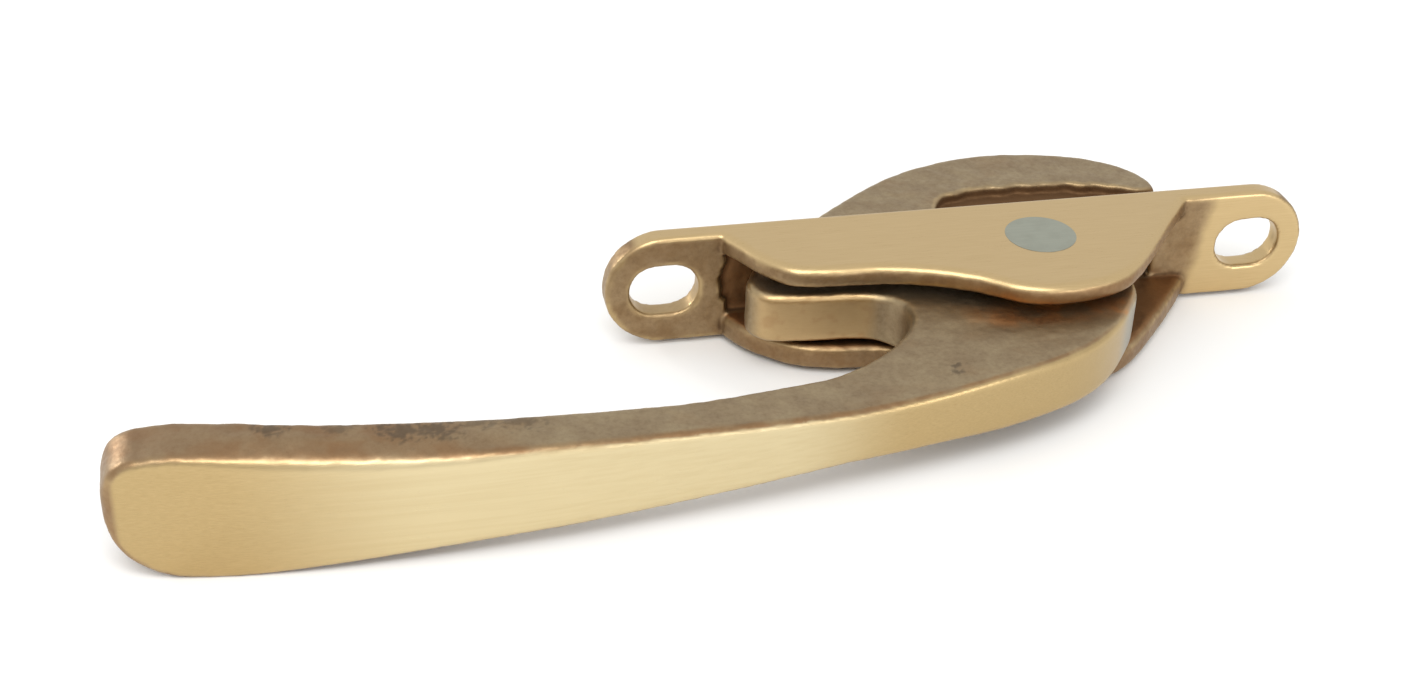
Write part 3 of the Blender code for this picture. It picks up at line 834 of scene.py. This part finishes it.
def bronze(name, colours):
    """Cast bronze: mottled from dull to clean as cast, streaked from low to high where it has been ground,
    and dark in its corners with dirt and painted shade, with painted sheen, bounce light and shade laid
    on. The marks on the mesh say where."""
    made, tree, shader = new_material(name)
    dull, clean, deep, low, high = [tone(*shade) for shade in colours]
    ground = mask(tree, "ground")
    edge = mask(tree, "edge")
    corner = mask(tree, "corner")

    blotch = speckle(tree, (0.3, 0.3, 0.3), 4.0)
    patch = speckle(tree, (0.16, 0.2, 0.2), 2.0)
    fine = speckle(tree, (1.8, 1.8, 1.8), 4.0, 0.6)
    streak = speckle(tree, (0.22, 11.0, 11.0), 4.0, 0.65)
    long_streak = speckle(tree, (0.04, 2.5, 2.5), 3.0)

    cast = mix(tree, spread(tree, blotch, 0.38, 0.62), dull, clean)
    cast = mix(tree, spread(tree, fine, 0.4, 0.75, 0.0, 0.22), cast, deep)
    cast = mix(tree, spread(tree, patch, 0.55, 0.75, 0.0, 0.25), cast, tone(*RUSSET))
    bright = mix(tree, spread(tree, streak, 0.3, 0.7), low, high)
    # Painted sheen: a lighter tone where the mark says.
    bright = mix(tree, mask(tree, "painted_sheen"), bright, tone(*PAINTED_SHEEN_TONE))
    bright = mix(tree, spread(tree, long_streak, 0.4, 0.7, 0.0, 0.15), bright, low)
    bright = mix(tree, mask(tree, "pale"), bright, tone(*PALE))
    colour = mix(tree, ground, cast, bright)
    # Layers: worn edges, dark corners (dirt and painted shade), darker tone with painted shade, painted
    # bounce light, stains.
    layers = [(edge, 0.45, tone(*WORN_EDGE)), (corner, 0.75, deep),
              (mask(tree, "brown_and_painted_shade"), 0.75, tone(*BROWN_AND_PAINTED_SHADE)), (mask(tree, "painted_bounce_and_tint"), 0.9, tone(*PAINTED_BOUNCE_AND_TINT)),
              (mask(tree, "stain"), 0.75, tone(*STAIN))]
    for where, strength, layer in layers:
        colour = mix(tree, maths(tree, "MULTIPLY", where, strength), colour, layer)

    rough_cast = spread(tree, fine, 0.3, 0.7, 0.4, 0.52)
    rough_ground = spread(tree, streak, 0.3, 0.7, 0.27, 0.36)
    keep = maths(tree, "MAXIMUM", ground, maths(tree, "MULTIPLY", edge, 0.7))
    rough = add_node(tree, "ShaderNodeMix", {0: keep, 2: rough_cast, 3: rough_ground},
                     data_type="FLOAT").outputs[0]
    rough = maths(tree, "ADD", rough, maths(tree, "MULTIPLY", corner, 0.25))

    pitting = speckle(tree, (3.0, 3.0, 3.0), 5.0, 0.65)
    cast_relief = bump(tree, pitting, 0.28, 0.06)
    ground_relief = bump(tree, streak, 0.3, 0.03)
    relief = add_node(tree, "ShaderNodeMix", {0: ground, 4: cast_relief, 5: ground_relief},
                      data_type="VECTOR")

    connect(tree, shader, colour, rough, relief.outputs[1])
    return made


def pin_steel():
    """The pin's filed end: grey-green steel with fine scratches along the bracket."""
    made, tree, shader = new_material("pin_steel_filed")
    streak = speckle(tree, (0.1, 5.0, 5.0), 3.0)
    cloud = speckle(tree, (0.5, 0.5, 0.5), 3.0)
    colour = mix(tree, spread(tree, streak, 0.3, 0.7), *[tone(*shade) for shade in STEEL])
    colour = mix(tree, spread(tree, cloud, 0.45, 0.75, 0.0, 0.5), colour, tone(*STEEL_CLOUD))
    relief = bump(tree, streak, 0.3, 0.03)
    connect(tree, shader, colour, spread(tree, streak, 0.3, 0.7, 0.36, 0.5), relief)
    return made


def washer_brass():
    """Tarnished sheet brass, clouded and finely speckled."""
    made, tree, shader = new_material("washer_brass_worn")
    cloud = speckle(tree, (0.6, 0.6, 0.6), 4.0)
    fine = speckle(tree, (5.0, 5.0, 5.0), 3.0)
    colour = mix(tree, spread(tree, cloud, 0.35, 0.65), *[tone(*shade) for shade in BRASS])
    colour = mix(tree, spread(tree, fine, 0.45, 0.7, 0.0, 0.5), colour, tone(*TARNISH))
    relief = bump(tree, fine, 0.3, 0.02)
    connect(tree, shader, colour, spread(tree, cloud, 0.3, 0.7, 0.34, 0.5), relief)
    return made


def floor_paint():
    """Plain pale floor with the faintest clouding."""
    made, tree, shader = new_material("pale_floor")
    cloud = add_node(tree, "ShaderNodeTexNoise", {
        "Vector": add_node(tree, "ShaderNodeTexCoord").outputs["Object"], "Scale": 3.0}).outputs["Fac"]
    colour = mix(tree, spread(tree, cloud, 0.3, 0.7), *[tone(*shade) for shade in FLOOR_TONES])
    tree.links.new(colour, shader.inputs["Base Color"])
    shader.inputs["Roughness"].default_value = 0.9
    shader.inputs["Specular IOR Level"].default_value = 0.1
    return made


# The handle's pieces

bracket = make_bracket()
finish_bracket(bracket)
bracket.data.materials.append(bronze("bracket_bronze_cast", BRACKET_BRONZE))
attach(bracket, "bracket")
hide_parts("bracket")

lever = make_lever()
finish_lever(lever)
lever.data.materials.append(bronze("lever_bronze_cast", LEVER_BRONZE))
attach(lever, "lever")
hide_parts("lever")

pin = make_pin()
pin.data.materials.append(pin_steel())
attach(pin, "bracket")
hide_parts("pivot_pin")

brass = washer_brass()
for washer in ("upper_washer", "spring_washer"):
    for material_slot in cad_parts[washer].material_slots:
        material_slot.material = brass


# Floor, light and camera

floor_z = cad_box[0][2] / MM
floor_corners = [(-FLOOR_HALF, -FLOOR_HALF), (FLOOR_HALF, -FLOOR_HALF),
                 (FLOOR_HALF, FLOOR_HALF), (-FLOOR_HALF, FLOOR_HALF)]
floor = solid("floor", [(x, y, floor_z) for x, y in floor_corners], [(0, 1, 2, 3)])
floor.data.materials.append(floor_paint())


def area_light(name, place_at, aim, size, power):
    data = bpy.data.lights.new(name, "AREA")
    data.shape = "RECTANGLE"
    data.size, data.size_y = size
    data.energy = power
    made = bpy.data.objects.new(name, data)
    made.location = place_at
    made.rotation_euler = (Vector(aim) - Vector(place_at)).to_track_quat("-Z", "Y").to_euler()
    bpy.context.scene.collection.objects.link(made)
    return made


for settings in LIGHTS:
    area_light(*settings)
for settings in CLOSE_LIGHTS:
    area_light(*settings).visible_camera = False

world = bpy.data.worlds.new("studio")
world.use_nodes = True
world.node_tree.nodes["Background"].inputs["Color"].default_value = (1.0, 1.0, 1.0, 1.0)
world.node_tree.nodes["Background"].inputs["Strength"].default_value = WORLD_STRENGTH
bpy.context.scene.world = world
bpy.context.scene.view_settings.view_transform = "Standard"
bpy.context.scene.view_settings.look = "None"

azimuth = math.radians(CAMERA_AZIMUTH)
elevation = math.radians(CAMERA_ELEVATION)
roll = math.radians(CAMERA_ROLL)
level = math.cos(elevation)
backward = Vector((math.sin(azimuth) * level, -math.cos(azimuth) * level, math.sin(elevation)))
level_right = (-backward).cross(Vector((0, 0, 1))).normalized()
level_up = level_right.cross(-backward)
right = level_right * math.cos(roll) + level_up * math.sin(roll)
up = level_up * math.cos(roll) - level_right * math.sin(roll)
lens = bpy.data.cameras.new("camera")
lens.sensor_width = SENSOR_WIDTH
lens.lens = LENS
lens.clip_start = CAMERA_NEAR
camera = bpy.data.objects.new("camera", lens)
turn = Matrix((right, up, backward)).transposed().to_4x4()
camera.matrix_world = Matrix.Translation(CAMERA_TARGET + backward * CAMERA_DISTANCE) @ turn
bpy.context.scene.collection.objects.link(camera)
bpy.context.scene.camera = camera
